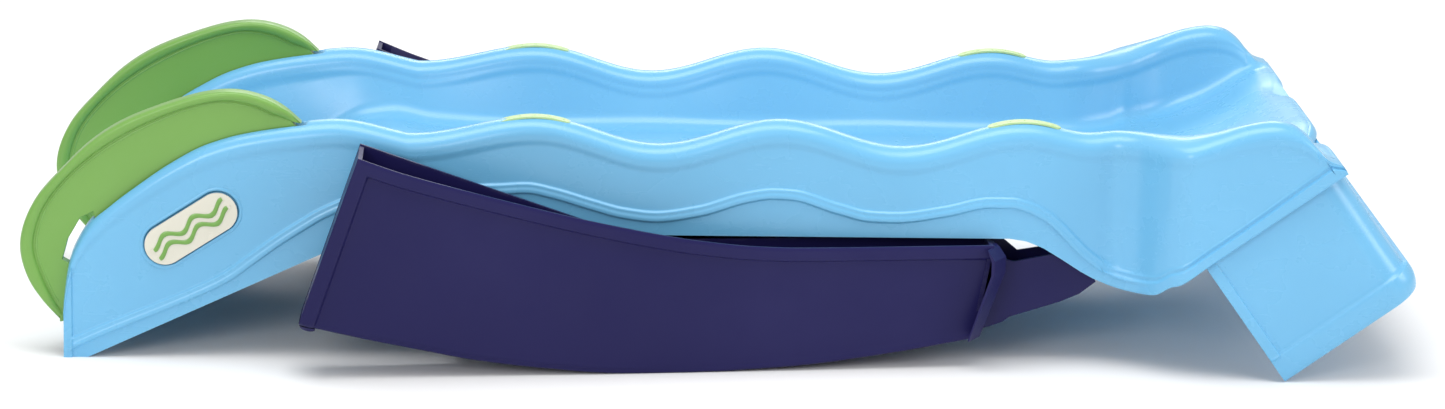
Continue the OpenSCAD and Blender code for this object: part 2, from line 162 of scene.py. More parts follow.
def plastic(name, color, rough=0.36, sss=0.06, shade=0.05, grain=0.05, coat=0.12, wear=0.5, spec=0.5):
    """Moulded plastic: mottled colour, fine grain, slow waviness, rubbed edges and light scuffs."""
    m = bpy.data.materials.new(name)
    m.use_nodes = True
    nt = m.node_tree
    N, L = nt.nodes, nt.links
    bsdf = N["Principled BSDF"]
    tc = N.new("ShaderNodeTexCoord")

    def noise(scale, detail=3.0, rough_=0.5, src=None):
        n = N.new("ShaderNodeTexNoise")
        n.inputs["Scale"].default_value = scale
        n.inputs["Detail"].default_value = detail
        n.inputs["Roughness"].default_value = rough_
        L.new(src if src is not None else tc.outputs["Object"], n.inputs["Vector"])
        return n

    def maprange(src, a, b, c, d):
        r = N.new("ShaderNodeMapRange")
        r.inputs["From Min"].default_value = a
        r.inputs["From Max"].default_value = b
        r.inputs["To Min"].default_value = c
        r.inputs["To Max"].default_value = d
        L.new(src, r.inputs["Value"])
        return r

    def mixc(fac, a, b):
        x = N.new("ShaderNodeMix")
        x.data_type = "RGBA"
        if isinstance(fac, float):
            x.inputs[0].default_value = fac
        else:
            L.new(fac, x.inputs[0])
        for sock, v in ((x.inputs[6], a), (x.inputs[7], b)):
            if isinstance(v, tuple):
                sock.default_value = (*v, 1.0)
            else:
                L.new(v, sock)
        return x

    big = noise(2.6, 2.0)
    mid = noise(17.0, 4.0)
    dark = tuple(c * (1 - shade) for c in color)
    light = tuple(min(1.0, c * (1 + shade) + 0.004) for c in color)
    base = mixc(maprange(big.outputs["Fac"], 0.32, 0.68, 0.0, 1.0).outputs[0], dark, light)
    base2 = mixc(maprange(mid.outputs["Fac"], 0.35, 0.7, 0.0, 0.35).outputs[0], base.outputs[2], color)
    # rubbed convex edges
    geo = N.new("ShaderNodeNewGeometry")
    edge = maprange(geo.outputs["Pointiness"], 0.53, 0.60, 0.0, wear)
    edge_n = N.new("ShaderNodeMath")
    edge_n.operation = "MULTIPLY"
    L.new(edge.outputs[0], edge_n.inputs[0])
    L.new(maprange(noise(60.0, 5.0, 0.65).outputs["Fac"], 0.4, 0.62, 0.15, 1.0).outputs[0], edge_n.inputs[1])
    pale = tuple(min(1.0, c * 0.75 + 0.25) for c in color)
    worn = mixc(edge_n.outputs[0], base2.outputs[2], pale)
    L.new(worn.outputs[2], bsdf.inputs["Base Color"])
    # scuffs run mostly along the object
    mp = N.new("ShaderNodeMapping")
    mp.inputs["Scale"].default_value = (3.0, 22.0, 30.0)
    mp.inputs["Rotation"].default_value = (0.1, 0.25, 0.15)
    L.new(tc.outputs["Object"], mp.inputs["Vector"])
    scuff = noise(9.0, 8.0, 0.7, mp.outputs["Vector"])
    sc = maprange(scuff.outputs["Fac"], 0.56, 0.80, 0.0, 0.06)
    rr = maprange(mid.outputs["Fac"], 0.3, 0.7, rough - 0.05, rough + 0.06)
    add = N.new("ShaderNodeMath")
    add.operation = "ADD"
    L.new(rr.outputs[0], add.inputs[0])
    L.new(sc.outputs[0], add.inputs[1])
    add2 = N.new("ShaderNodeMath")
    add2.operation = "MULTIPLY_ADD"
    L.new(edge_n.outputs[0], add2.inputs[0])
    add2.inputs[1].default_value = 0.12
    L.new(add.outputs[0], add2.inputs[2])
    L.new(add2.outputs[0], bsdf.inputs["Roughness"])
    # grain over slow waviness
    b1 = N.new("ShaderNodeBump")
    b1.inputs["Strength"].default_value = 0.06
    b1.inputs["Distance"].default_value = 0.004
    L.new(noise(7.0, 1.0).outputs["Fac"], b1.inputs["Height"])
    b2 = N.new("ShaderNodeBump")
    b2.inputs["Strength"].default_value = grain
    b2.inputs["Distance"].default_value = 0.0004
    L.new(noise(700.0, 3.0, 0.6).outputs["Fac"], b2.inputs["Height"])
    L.new(b1.outputs["Normal"], b2.inputs["Normal"])
    L.new(b2.outputs["Normal"], bsdf.inputs["Normal"])
    bsdf.inputs["Specular IOR Level"].default_value = spec
    if sss:
        bsdf.inputs["Subsurface Weight"].default_value = sss
        bsdf.inputs["Subsurface Radius"].default_value = (0.4, 0.7, 1.0)
        bsdf.inputs["Subsurface Scale"].default_value = 0.006
    bsdf.inputs["Coat Weight"].default_value = coat
    bsdf.inputs["Coat Roughness"].default_value = 0.22
    m.diffuse_color = (*color, 1.0)
    return m


def metal(name, color, rough=0.3):
    m = plastic(name, color, rough=rough, sss=0.0, shade=0.08, grain=0.15, coat=0.0, wear=0.3)
    m.node_tree.nodes["Principled BSDF"].inputs["Metallic"].default_value = 1.0
    return m


def srgb(r, g, b):
    f = lambda v: (v / 255 / 12.92) if v <= 10 else ((v / 255 + 0.055) / 1.055) ** 2.4
    return (f(r), f(g), f(b))


BLUE = plastic("blue_hdpe", (0.148, 0.442, 0.700), rough=0.27, sss=0.06, wear=0.30, coat=0.12)
NAVY = plastic("navy_hdpe", (0.0095, 0.0080, 0.070), rough=0.40, sss=0.0, wear=0.10, shade=0.10, coat=0.0, grain=0.08, spec=0.20)
GREEN = plastic("green_hdpe", (0.160, 0.352, 0.062), rough=0.34, sss=0.05, wear=0.40, coat=0.12)
# Spray bars: the same green plastic as the handrails, given a much paler colour all over that is a painted highlight
GREEN_PAINTED_HIGHLIGHT = plastic("lime_bar", srgb(176, 206, 140), rough=0.40, sss=0.08, wear=0.3)
IVORY = plastic("badge_ivory", srgb(214, 211, 196), rough=0.22, sss=0.0, coat=0.4, wear=0.1, shade=0.02)
VINYL = plastic("tube_vinyl", srgb(190, 196, 200), rough=0.30, sss=0.15, wear=0.1)
FITTING = plastic("fitting_grey", srgb(120, 122, 126), rough=0.45, sss=0.0, wear=0.3)
STEEL = metal("screw_steel", srgb(190, 190, 188), rough=0.3)

# ---------------------------------------------------------- shape of chute

WALL = 4.0
RAIL_W, RAIL_Y = 40.0, 198.0
HUMP = [(-770, 72), (-768, 88), (-764, 112), (-755, 136), (-741, 159), (-723, 178), (-683, 210),
        (-644, 236), (-601, 258), (-558, 271), (-500, 280.5), (-450, 285), (-366, 269)]
SKIRT = [(-770, 0), (-742, 0), (-468, 128), (-445, 136), (-405, 145), (-350, 151), (-250, 155), (340, 155),
         (360, 152), (380, 144), (400, 132), (425, 116), (445, 105), (465, 98), (480, 95.5), (500, 95.5)]
DECK = [(-770, 14), (-480, 181), (-430, 205), (-400, 208), (-350, 200), (-250, 196), (440, 195), (505, 199)]
RIB = [(-775, 8), (-757, 18), (-598, 89), (-575, 102), (-551, 120), (-520, 143), (-493, 161), (-465, 178),
       (-435, 191), (-400, 201), (-350, 205), (-300, 207), (-264, 208), (-229, 210), (-197, 204), (-153, 191),
       (-115, 181), (-78, 177), (-28, 184), (32, 202), (60, 206), (82, 205), (137, 189), (175, 180),
       (205, 179), (263, 187), (316, 198), (340, 198), (364, 192), (385, 181), (400, 168), (412, 156),
       (427, 141), (442, 129), (457, 120), (475, 114), (495, 113), (520, 120)]
LA = math.radians(36)
LO = (514.0, 102.0)


def lip(l, d):
    return (LO[0] + l * math.cos(LA) + d * math.sin(LA), LO[1] + l * math.sin(LA) - d * math.cos(LA))


def wave(x):
    if x < -366:
        return pchip(HUMP, x)
    if x < -218:
        return mix(269, 291, (1 - math.cos(math.pi * (x + 366) / 148)) / 2)
    if x < 355:
        return 275.5 + 15.5 * math.cos(2 * math.pi * (x + 218) / 286.5)
    if x < 436:
        return mix(291, 278.5, (1 - math.cos(math.pi * (x - 355) / 81)) / 2)
    return pchip([(436, 278.5), (470, 282), (505, 284), (540, 288)], x)


def rail_out(x):
    return mix(RAIL_Y + RAIL_W / 2, 288, ease((x - 462) / 82))


def rail_in(x):
    return mix(RAIL_Y - RAIL_W / 2, 248, ease((x - 455) / 150))


def floor_half(x):
    return mix(156, 232, ease((x - 430) / 190))


def vert_station(x):
    f = ease((x - 462) / 82)
    zb = line(SKIRT, x) if x < 500 else mix(95.5, 118, ease((x - 500) / 36))
    zf = pchip(DECK, min(x, 505)) + (x - 505) * 0.25 * (x > 505)
    return [x, zb, x, wave(x), x, zf, mix(RAIL_Y + 23, 286, f), (rail_out(x) + rail_in(x)) / 2, floor_half(x),
            4 * ease((x - 440) / 30), 0.0, (rail_out(x) - rail_in(x)) / 2]


EXITS = [((28, 0), (540, 288), (78, -68)), ((65, 0), (572, 296), (103, -52)), ((104, 0), (602, 305.5), (132, -41)),
         ((146, 0), (628, 311), (163, -33)), ((186, 0), (648, 311), (192, -29)), ((214, 0), (664, 306), (214, -27)),
         ((234, 0), (678, 295), (230, -25)), ((247, 0), (689, 282), (240, -23)), ((255, 0), (698, 272.5), (247, -20)),
         ((258.5, 0), (706, 268.5), (252.5, -17)), ((260, 0), (715, 265.5), (257, -13))]


def exit_station(i):
    e = EXITS[i]
    k = i / (len(EXITS) - 1)
    b, f = lip(*e[0]), lip(*e[2])
    x = e[1][0]
    return [b[0], b[1], e[1][0], e[1][1], f[0], f[1], mix(286, 290, k), (288 + rail_in(x)) / 2 + 4 * ease(k),
            floor_half(x) + 8 * k, 4.0, ease((k - 0.45) / 0.5), (288 - rail_in(x)) / 2]


def stations(coarse=1.0):
    xs = [-770, -769.2, -768, -766, -764, -761.6, -760.6, -759.8, -759, -758, -755]
    x = -752.0
    while x < -470:
        xs.append(x)
        x += 3.0 * coarse
    while x < 432:
        xs.append(x)
        x += 4.5 * coarse
    out = [vert_station(v) for v in xs]
    ctrl = [vert_station(v) for v in (440, 462, 486, 510, 524)] + [exit_station(i) for i in range(len(EXITS))]
    for s in spline(ctrl, 7):
        out.append(list(s))
    return out


SLOT_X0, SLOT_X1 = -735.0, -487.0


def slot_depth(x, side_t):
    return 24.0 * ease((x - SLOT_X0) / 5) * ease((SLOT_X1 - x) / 4)


BADGE_AT, BADGE_TILT = (-620.0, 157.0), math.radians(33)


def badge_uv(x, z):
    dx, dz = x - BADGE_AT[0], z - BADGE_AT[1]
    return (dx * math.cos(BADGE_TILT) + dz * math.sin(BADGE_TILT), -dx * math.sin(BADGE_TILT) + dz * math.cos(BADGE_TILT))


def stadium_dist(u, v, l, w):
    r = w / 2
    h = l / 2 - r
    return math.hypot(max(abs(u) - h, 0.0), v) - r


def step(v, w):
    return ease(v / w + 0.5)


def skirt_relief(x, z, top):
    """How far the outer skin stands proud of its plain surface."""
    d = 0.0
    if x < 520:
        r = pchip(RIB, x)
        r2 = (pchip(RIB, x + 1) - pchip(RIB, x - 1)) / 2
        dist = abs(z - r) / math.sqrt(1 + r2 * r2)
        fade = 1 - ease((x - 468) / 40)
        d += 2.9 * step(6.0 - dist, 2.2) * fade * ease((x + 768) / 8)
        # shallow shelf below the rib
        d += 0.9 * step(r - z, 4) * fade
    # flange strip on the upright edge of the hump
    if x < -755:
        d += 2.2 * step(-759.8 - x, 1.8)
    # slightly fuller rail above a soft crease
    d += 1.7 * ease((z - (top - 32)) / 10)
    u, v = badge_uv(x, z)
    sd = stadium_dist(u, v, 123, 50)
    if sd < 8:
        d -= 7.0 * ease((2.0 - sd) / 4.0)
    return d


NB, NR, NA = 10, 19, 50


def half_section(s):
    """Outer surface from the skirt's foot to the trough's centre line, as (x, y, z)."""
    bx, bz, tx, tz, fx, fz, yb, yr, yf, band, sc, rw = s
    B, T, F = np.array([bx, bz]), np.array([tx, tz]), np.array([fx, fz])
    H = np.linalg.norm(T - B)
    up = (T - B) / H
    hd = np.linalg.norm(T - F)
    hr, rf = min(18.0, 0.45 * hd), min(24.0, 0.4 * hd)
    top = T - up * hr
    wall_h = np.linalg.norm(top - B)
    pts = []
    # rows of the outer skin, gathered round the rib and the top of the lip band
    r, slope = 16.0, 0.0
    if bx < 520 and band < 2:
        r = pchip(RIB, bx) - bz
        slope = (pchip(RIB, bx + 1) - pchip(RIB, bx - 1)) / 2
    w = 8.5 * math.sqrt(1 + slope * slope) + 1
    r = min(max(r, w + 1.0), wall_h - w - 6)
    if wall_h < 34:
        hs = list(np.linspace(0, wall_h, NB + NR + NA))
    else:
        hs = list(np.linspace(0, r - w, NB, endpoint=False)) + list(np.linspace(r - w, r + w, NR, endpoint=False)) \
            + list(np.linspace(r + w, wall_h, NA))
    lim = min(15.5, H * 0.4)
    for h in hs:
        p = B + (top - B) * (h / wall_h)
        y = mix(yb, yr + rw, h / wall_h)
        if band > 0:
            y += band * 0.95 * (1 - step(h - lim, 2.6))
            y -= 1.6 * band / 4 * ease((2.2 - h) / 2.2)
            # fine bead just above the band
            y += 0.9 * band / 4 * math.exp(-((h - lim - 5.5) / 1.6) ** 2)
        if H > 60:
            y += skirt_relief(p[0], p[1], tz)
        pts.append((p[0], y, p[1]))
    # rail top with the slot for the handrail's web
    dep = slot_depth(tx, 0)
    full = 1.7 if H > 60 else 0.0
    go = 8.9 + 3.6 * ease((tx + 745) / 30) * ease((-600 - tx) / 90)
    gi = 8.9
    side = {}
    for sgn, g in ((1, go), (-1, gi)):
        a1 = math.acos(min(0.96, (g + 1.5) / rw))
        side[sgn] = [rw * math.cos(a1 * k / 6) for k in range(1, 6)] + [g + 1.2, g + 0.6, g + 0.15, g, g - 0.1, g / 2]
    n = len(side[1])
    seq = [(o, j, 1) for j, o in enumerate(side[1])] + [(0.0, n, 0)] + [(-o, n - 1 - j, -1) for j, o in enumerate(reversed(side[-1]))]
    for o, j, sgn in seq:
        z = math.sqrt(max(0.0, 1 - (o / rw) ** 2)) * hr
        if j >= n - 6:
            kind = j - (n - 6)
            drop = (0.0, 0.3, 1.3, dep, dep, dep, dep)[kind]
            z -= min(drop, dep)
        p = top + up * z
        y = yr + o + (full * clamp01(o / rw) if o > 0 else -full * clamp01(-o / rw))
        pts.append((p[0], y, p[1]))
    # inner wall, with the same soft crease, then the fillet and the floor
    wi = yr - rw
    wl = min(rf / max(1.0, hd), 0.5)
    for q in np.linspace(1.0, wl + 0.04, 20):
        p = F + (top - F) * q
        y = mix(yf, wi, q)
        y -= full * ease((p[1] - (tz - 32)) / 10)
        pts.append((p[0], y, p[1]))
    w0 = mix(yf, wi, wl)
    for k in range(11):
        v = k / 10
        # quadratic corner between the wall and the floor
        a = (1 - v) ** 2
        b = 2 * v * (1 - v)
        c = v * v
        pw = F + (top - F) * wl
        p = pw * a + F * b + F * c
        y = w0 * a + yf * b + (yf - rf) * c
        pts.append((p[0], y, p[1]))
    for q in np.linspace(1, 0, 10)[1:]:
        pts.append((F[0], (yf - rf) * q, F[1]))
    return pts


def under_section(s):
    """Inside of the skin, as seen from below."""
    bx, bz, tx, tz, fx, fz, yb, yr, yf, band, sc, half = s
    B, T, F = np.array([bx, bz]), np.array([tx, tz]), np.array([fx, fz])
    H = np.linalg.norm(T - B)
    up = (T - B) / H
    hd = np.linalg.norm(T - F)
    hr, rf = min(18.0, 0.45 * hd), min(24.0, 0.4 * hd)
    o = WALL
    rw = half - o
    top = T - up * hr
    wall_h = np.linalg.norm(top - B)
    hh = max(2.0, hr - o)
    pts = []
    for q in np.linspace(0, 1, 12):
        p = B + (top - B) * q
        y = mix(yb, yr + half, q) - o
        if band > 0:
            y += band * 0.95 * (1 - step(q * wall_h - 15.5, 3))
        pts.append((p[0], y, p[1]))
    dep = slot_depth(tx, 0)
    for k in range(1, 12):
        a = math.pi * k / 12
        off = rw * math.cos(a)
        z = hh * math.sin(a) - (dep if abs(off) < 13.0 else 0.0)
        p = top + up * z
        pts.append((p[0], yr + off, p[1]))
    Fu = F - up * o
    for q in np.linspace(1, 0.16, 8):
        p = Fu + (top - Fu) * q
        pts.append((p[0], mix(yf + o, yr - rw, q), p[1]))
    for q in np.linspace(1, 0, 5):
        pts.append((Fu[0], (yf - rf + 8) * q, Fu[1]))
    return pts


def dent(y):
    return math.exp(-((abs(y) - 128) / 34) ** 2)


def mirror_ring(h, sc):
    ring = [(p[0], -p[1], p[2]) for p in h] + [h[k] for k in range(len(h) - 2, -1, -1)]
    out = []
    for p in ring:
        g = 14 * sc * dent(p[1])
        out.append((p[0] - g * math.cos(LA), p[1], p[2] - g * math.sin(LA)))
    return out


def zipper(a, b):
    """Triangles between two open runs of vertex numbers."""
    out, i, j = [], 0, 0
    while i < len(a) - 1 or j < len(b) - 1:
        if j == len(b) - 1 or (i < len(a) - 1 and (i + 1) / (len(a) - 1) <= (j + 1) / (len(b) - 1)):
            out.append((a[i], a[i + 1], b[j]))
            i += 1
        else:
            out.append((a[i], b[j + 1], b[j]))
            j += 1
    return out


def chute():
    st = stations()
    outer = [mirror_ring(half_section(s), s[10]) for s in st]
    inner = [mirror_ring(under_section(s), s[10]) for s in st]
    n, m, rows = len(outer[0]), len(inner[0]), len(st)
    verts = [p for r in outer for p in r] + [p for r in inner for p in r]
    o2 = rows * n
    faces = grid_faces(rows, n) + grid_faces(rows, m, o2, True)
    for i in range(rows - 1):
        faces.append((i * n, (i + 1) * n, o2 + (i + 1) * m, o2 + i * m))
        faces.append((i * n + n - 1, o2 + i * m + m - 1, o2 + (i + 1) * m + m - 1, (i + 1) * n + n - 1))
    faces += zipper([k for k in range(n)], [o2 + k for k in range(m)])
    e, f = (rows - 1) * n, o2 + (rows - 1) * m
    faces += [t[::-1] for t in zipper([e + k for k in range(n)], [f + k for k in range(m)])]
    return make("chute_skin", verts, faces, BLUE, "slide", ["chute"], sharp=50)


def badge_seat(s):
    """Raised lip round the badge's recess, and the recess floor."""
    prof = [(6.0, -1.6), (4.2, 0.25), (2.6, 0.75), (1.2, 0.65), (0.35, 0.05), (-0.1, -1.0), (-0.5, -2.6), (-1.2, -3.0),
            (-4.0, -3.0), (-12.0, -3.0)]
    n = 96
    l, w = 123.0, 50.0
    verts, faces = [], []
    hump = lambda z: mix(RAIL_Y + 23, RAIL_Y + 20, clamp01((z - line(SKIRT, BADGE_AT[0])) / 160))
    for off, dz in prof:
        r = w / 2 + off
        h = l / 2 - w / 2
        for k in range(n):
            a = 2 * math.pi * k / n
            u = r * math.cos(a) + (h if math.cos(a) >= 0 else -h)
            v = r * math.sin(a)
            x = BADGE_AT[0] + u * math.cos(BADGE_TILT) - v * math.sin(BADGE_TILT)
            z = BADGE_AT[1] + u * math.sin(BADGE_TILT) + v * math.cos(BADGE_TILT)
            b = line(SKIRT, x)
            top = wave(x) - 18
            y = mix(RAIL_Y + 23, RAIL_Y + 20, (z - b) / (top - b)) + dz
            verts.append((x, s * y, z))
    for i in range(len(prof) - 1):
        for k in range(n):
            k2 = (k + 1) % n
            faces.append((i * n + k, i * n + k2, (i + 1) * n + k2, (i + 1) * n + k))
    side = "near" if s < 0 else "far"
    return make(f"badge_seat_{side}", verts, faces, BLUE, "slide", sharp=60)


chute()
for s in (-1, 1):
    badge_seat(s)



def exit_roll():
    """Rolled front edge that turns down from the scalloped end of the floor."""
    prof = [(-6, -13.1), (-2.5, -13.1), (0.2, -12.7), (2.0, -11.4), (3.1, -9.4), (3.4, -7), (3.4, -1.4), (3.0, -0.4), (1.9, 0.1),
            (0.9, -0.4), (0.5, -1.4), (0.4, -7.5), (-1.6, -9.8), (-6, -10.0)]
    n = len(prof)
    ys = np.linspace(-284, 284, 143)
    verts, faces = [], []
    for y in ys:
        for l, d in prof:
            x, z = lip(257 + l - 14 * dent(y), d)
            verts.append((x, y, z))
    for i in range(len(ys) - 1):
        for k in range(n):
            k2 = (k + 1) % n
            faces.append((i * n + k, i * n + k2, (i + 1) * n + k2, (i + 1) * n + k))
    faces.append(tuple(range(n)))
    faces.append(tuple(range(len(ys) * n - 1, (len(ys) - 1) * n - 1, -1)))
    return make("exit_roll", verts, faces, BLUE, "slide", sharp=60)


exit_roll()


def badge_waves(s):
    """Coloured double wave laid over the badge's relief."""
    sect = [(-3.0, 1.0), (-3.0, 1.8), (-2.2, 2.25), (0.0, 2.45), (2.2, 2.25), (3.0, 1.8), (3.0, 1.0)]
    n = len(sect)
    verts, faces = [], []
    for r in (-6.0, 6.0):
        base = len(verts)
        for i in range(81):
            q = i / 80
            u = mix(-50.5, 50.5, q)
            thin = 0.72 + 0.28 * math.sqrt(clamp01(min(q, 1 - q) * 22))
            for o, h in sect:
                v = (r + 5 * math.sin(math.radians(9 * u)) + o * thin) * (1 if s < 0 else -1)
                verts.append((BADGE_AT[0] + u * math.cos(BADGE_TILT) - v * math.sin(BADGE_TILT), s * (RAIL_Y + 24 + h),
                              BADGE_AT[1] + u * math.sin(BADGE_TILT) + v * math.cos(BADGE_TILT)))
        faces += grid_faces(81, n, base)
        faces += [(base + i * n + n - 1, base + i * n, base + (i + 1) * n, base + (i + 1) * n + n - 1) for i in range(80)]
        faces.append(tuple(range(base, base + n)))
        faces.append(tuple(range(base + 81 * n - 1, base + 80 * n - 1, -1)))
    side = "near" if s < 0 else "far"
    return make(f"badge_waves_{side}", verts, faces, GREEN, "slide", sharp=50)


for s in (-1, 1):
    badge_waves(s)

# ------------------------------------------------------------------- riser


def riser():
    """U-shaped skirt: rings run round the plan outline, stacked down from the lip."""
    def outline(l0, l1, w, r, n=14):
        pts = []
        side = [0, 0.8, 6, 11, 12.2, 13.0, 13.8, 15, 22, 45, 75, 110, 140]
        side = [l0 + v for v in side] + [l1 - r]
        for l in side:
            pts.append((l, -w))
        for k in range(1, n + 1):
            a = -math.pi / 2 + math.pi / 2 * k / n
            pts.append((l1 - r + r * math.cos(a), -(w - r) + r * math.sin(a)))
        for k in range(1, 16):
            pts.append((l1, mix(-(w - r), w - r, k / 15)))
        for k in range(1, n + 1):
            a = math.pi / 2 * k / n
            pts.append((l1 - r + r * math.cos(a), (w - r) + r * math.sin(a)))
        for l in side[-2::-1]:
            pts.append((l, w))
        return pts
    # (depth below the lip, how far the wall stands out, how far the end stands out)
    prof = [(1, 0, 0), (20, 0, 0), (60, 0.1, 0), (100, 0.3, 0.2), (132, 0.6, 0.6), (136, 0.9, 1.0), (137.5, 1.8, 2.2), (138.8, 3.9, 4.8), (140.2, 4.8, 5.8),
            (144, 5.0, 6.0), (150, 5.0, 6.0), (156, 4.9, 5.4), (161, 4.4, 4.0), (165.5, 3.4, 2.2), (168.5, 2.2, 0.8),
            (170.4, 0.6, -0.6), (171, -1.0, -2.0)]
    inn = [(171, -3.0, -4.0), (169, -4.0, -4.6), (140, -4.0, -4.0), (60, -4.0, -4.0), (1, -4.0, -4.0)]
    rings = []
    for d, a, b in prof + inn:
        o = outline(62, 254 + b, 281 + a, 34 + min(a, 4))
        rings.append([(l, w, d) for l, w in o])
    n = len(rings[0])
    # raised border strip down the open edge of each side wall
    verts = []
    for ri, ring in enumerate(rings):
        for l, w, d in ring:
            if 0 < ri < len(prof) - 9 and l < 80 and abs(w) > 270:
                w += math.copysign(3.6 * step(75 - l, 1.8) - 0.8 * ease((63 - l) / 1.0), w)
            x, z = lip(l, d)
            verts.append((x, w, z))
    faces = grid_faces(len(rings), n)
    top_o, top_i = 0, (len(rings) - 1) * n
    for k in range(n - 1):
        faces.append((top_o + k, top_i + k, top_i + k + 1, top_o + k + 1))
    m = len(prof)
    for k in (0, n - 1):
        loop = [i * n + k for i in range(len(rings))]
        faces.append(tuple(loop if k == 0 else loop[::-1]))
    # tongues that stand up inside the exit's skirt
    for s in (-1, 1):
        base = len(verts)
        for d in (2, -16):
            for l, w in ((62, 281), (220, 281), (220, 277), (62, 277)):
                x, z = lip(l, d)
                verts.append((x, s * w, z))
        faces += [(base, base + 1, base + 5, base + 4), (base + 1, base + 2, base + 6, base + 5),
                  (base + 2, base + 3, base + 7, base + 6), (base + 3, base, base + 4, base + 7),
                  (base + 4, base + 5, base + 6, base + 7), (base + 3, base + 2, base + 1, base)]
    return make("riser_skin", verts, faces, BLUE, "slide", ["exit_riser"], sharp=40, bevel=0.8)


riser()

# ------------------------------------------------------------------ ladder

FRONT_S = [(-494, 71), (-486, 66), (-469, 62), (-404, 46), (-350, 34), (-291, 21), (-240, 13), (-188, 6.5), (-150, 2.5), (-110, 0.4), (-60, 0),
           (-10, 0.4), (40, 2.6), (95, 6), (200, 19), (301, 36)]
BACK_OUT = [(-421, 268), (-373, 250), (-300, 228), (-213, 204), (-167, 192), (-120, 181), (-78, 172), (-28, 163), (39, 155),
            (90, 152.5), (160, 152), (320, 152)]
BACK_IN = [(-421, 271), (-93, 149.5), (320, 149.5)]


def lad_out(x, z):
    return 325 - 0.1 * (x + 421) - 0.06 * (268 - z)


STR_W = 65.0
REC = 4.6


def stringer(s, verts, faces):
    ts = [v / 770 for v in (0, 0.6, 2, 5, 9, 13, 15.4, 16.2, 17, 17.8, 18.6, 20.5, 24, 29)] + list(np.linspace(0.045, 0.97, 92)) \
        + list(np.linspace(0.97, 1, 4))[1:]
    rings = []
    for t in ts:
        xf = mix(-490, 301, t)
        xb = mix(-421, 320, t)
        zf, zb, zi = pchip(FRONT_S, xf), pchip(BACK_OUT, xb), line(BACK_IN, xb)
        Fp, Bp, Ip = np.array([xf, zf]), np.array([xb, zb]), np.array([xb, zi])
        H = np.linalg.norm(Bp - Fp)
        dfoot = t * 770.0
        ring = []

        def put(P, inset, dy=0.0):
            ring.append((P[0], s * (lad_out(P[0], P[1]) - inset + dy), P[1]))
        # outer skin from the back edge down to the front, recessed inside its border
        rows = [0, 0.5, 1.2, 2.4, 6, 11, 14.6, 15.6, 16.4, 17.2, 18, 19, 20.5, 24] + list(np.linspace(30, H - 12, 26)) + [H - 9, H - 6.8]
        for h in rows:
            P = Bp + (Fp - Bp) * (h / H)
            edge = min(h, dfoot)
            rel = -REC * step(edge - 17, 3.4)
            rel -= 1.2 * ease((2.4 - edge) / 2.4)
            rel += 0.7 * math.exp(-((edge - 13.6) / 1.8) ** 2)
            # soft fold across the panel
            q = P[0] * 0.36 - P[1] * 0.93 + 214
            rel += 1.5 * step(q, 60) * ease((edge - 22) / 30) * ease((xf + 490) / 120) * ease((40 - xf) / 200)
            put(P, 0, rel)
        # rounded corner, front skin, rounded corner
        r = 7.0
        for k in range(1, 6):
            a = math.pi / 2 * k / 6
            P = Bp + (Fp - Bp) * ((H - r + r * math.sin(a)) / H)
            put(P, r - r * math.cos(a) + REC * step(dfoot - 17, 3.4) * (1 - k / 6))
        for q in np.linspace(r + 3, STR_W - r, 9):
            put(Fp, q)
        for k in range(1, 6):
            a = math.pi / 2 * k / 6
            P = Fp + (Ip - Fp) * ((r - r * math.cos(a)) / H)
            put(P, STR_W - r + r * math.sin(a))
        Hi = np.linalg.norm(Ip - Fp)
        for h in np.linspace(r + 3, Hi, 12):
            put(Fp + (Ip - Fp) * (h / Hi), STR_W)
        # back over the inner skin's edge and down inside the channel
        put(Ip, STR_W - WALL)
        for h in np.linspace(Hi - 4, WALL + 6, 10):
            put(Fp + (Ip - Fp) * (h / Hi), STR_W - WALL)
        put(Fp + (Ip - Fp) * ((WALL + 1.5) / Hi), STR_W - WALL - 2)
        put(Fp + (Bp - Fp) * (WALL / H), STR_W - WALL - 6)
        put(Fp + (Bp - Fp) * (WALL / H), STR_W / 2)
        put(Fp + (Bp - Fp) * (WALL / H), WALL + 8)
        put(Fp + (Bp - Fp) * ((WALL + 1.5) / H), WALL + 4)
        for h in np.linspace(WALL + 7, H, 12):
            put(Fp + (Bp - Fp) * (h / H), WALL + REC * ease((H - h - 13) / 4) * step(dfoot - 16, 4))
        rings.append(ring)
    n = len(rings[0])
    base = len(verts)
    for ring in rings:
        verts.extend(ring)
    fs = grid_faces(len(rings), n, base, s > 0)
    for i in range(len(rings) - 1):
        a, b = base + i * n, base + (i + 1) * n
        q = (a + n - 1, a, b, b + n - 1)
        fs.append(q if s < 0 else q[::-1])
    faces.extend(fs)
    # end walls close the channel at the foot and at the shoulder
    for which, t0, t1 in (("foot", 0.0, 0.0065), ("shoulder", 0.9935, 1.0)):
        blk = []
        for t in (t0, t1):
            xf, xb = mix(-490, 301, t), mix(-421, 320, t)
            zf, zb, zi = pchip(FRONT_S, xf), pchip(BACK_OUT, xb), line(BACK_IN, xb)
            for (x, z, ins) in ((xf + 1, zf + 1.5, 6), (xf + 1, zf + 1.5, STR_W - 6), (xb - 0.3, zi - 1.5, STR_W - 1.2),
                                (xb - 0.3, zb - 1.0, 1.2)):
                blk.append((x, s * (lad_out(x, z) - ins), z))
        b0 = len(verts)
        verts.extend(blk)
        faces.extend([(b0, b0 + 1, b0 + 2, b0 + 3), (b0 + 7, b0 + 6, b0 + 5, b0 + 4), (b0, b0 + 4, b0 + 5, b0 + 1),
                      (b0 + 1, b0 + 5, b0 + 6, b0 + 2), (b0 + 2, b0 + 6, b0 + 7, b0 + 3), (b0 + 3, b0 + 7, b0 + 4, b0)])


def prism(poly, y0, y1, verts, faces):
    b = len(verts)
    n = len(poly)
    verts.extend([(x, y0, z) for x, z in poly] + [(x, y1, z) for x, z in poly])
    faces.append(tuple(range(b, b + n)))
    faces.append(tuple(range(b + 2 * n - 1, b + n - 1, -1)))
    for k in range(n):
        k2 = (k + 1) % n
        faces.append((b + k, b + n + k, b + n + k2, b + k2))


